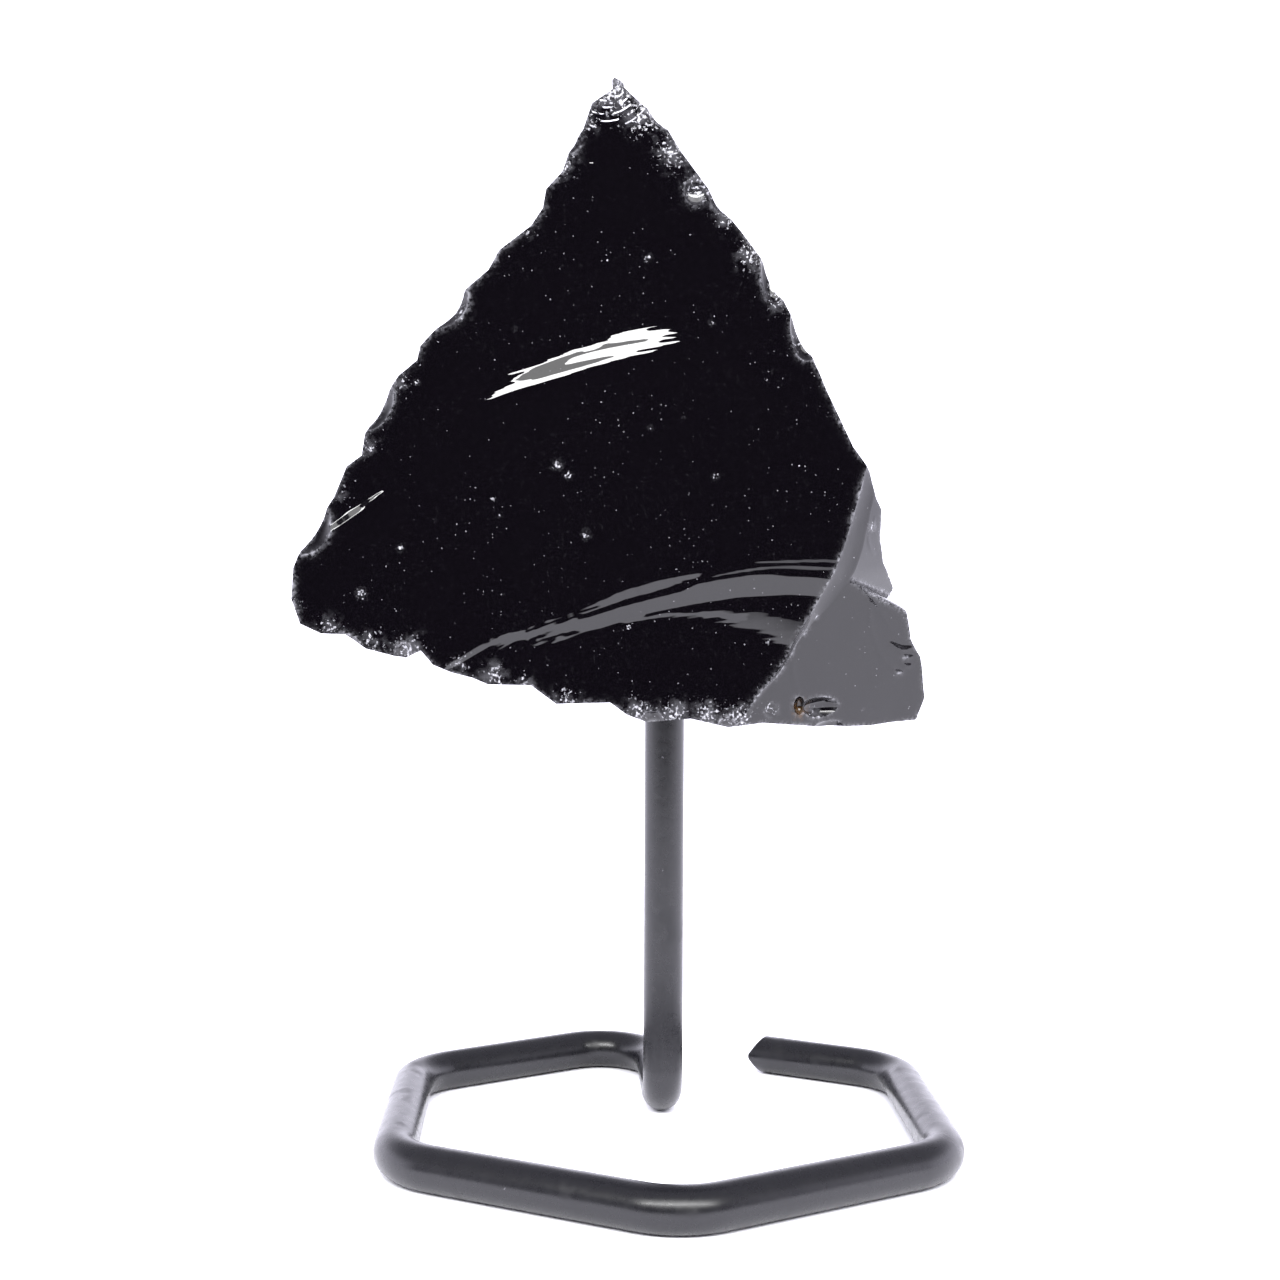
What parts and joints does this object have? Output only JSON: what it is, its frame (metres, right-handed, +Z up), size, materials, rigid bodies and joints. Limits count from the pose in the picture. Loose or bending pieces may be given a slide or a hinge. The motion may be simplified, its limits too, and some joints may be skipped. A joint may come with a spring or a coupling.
{
  "type": "obsidian chunk",
  "caption": "Knapped chunk of black volcanic glass with sharp flaked edges, held upright on a post bent from black steel rod with a flat ring foot.",
  "frame": {"origin": "on the floor under the middle of the whole object's bounding box", "axes": "+Z up along the post, -Y the way the stone's broad front fracture faces, +X to the right seen from the front"},
  "size_m": [0.0609, 0.0546, 0.0984],
  "materials": {
    "volcanic_glass": "glossy",
    "black_powder_coat": "satin"
  },
  "bodies": {
    "root": {"obsidian_chunk": "volcanic_glass", "stand_rod": "black_powder_coat"}
  },
  "joints": []
}
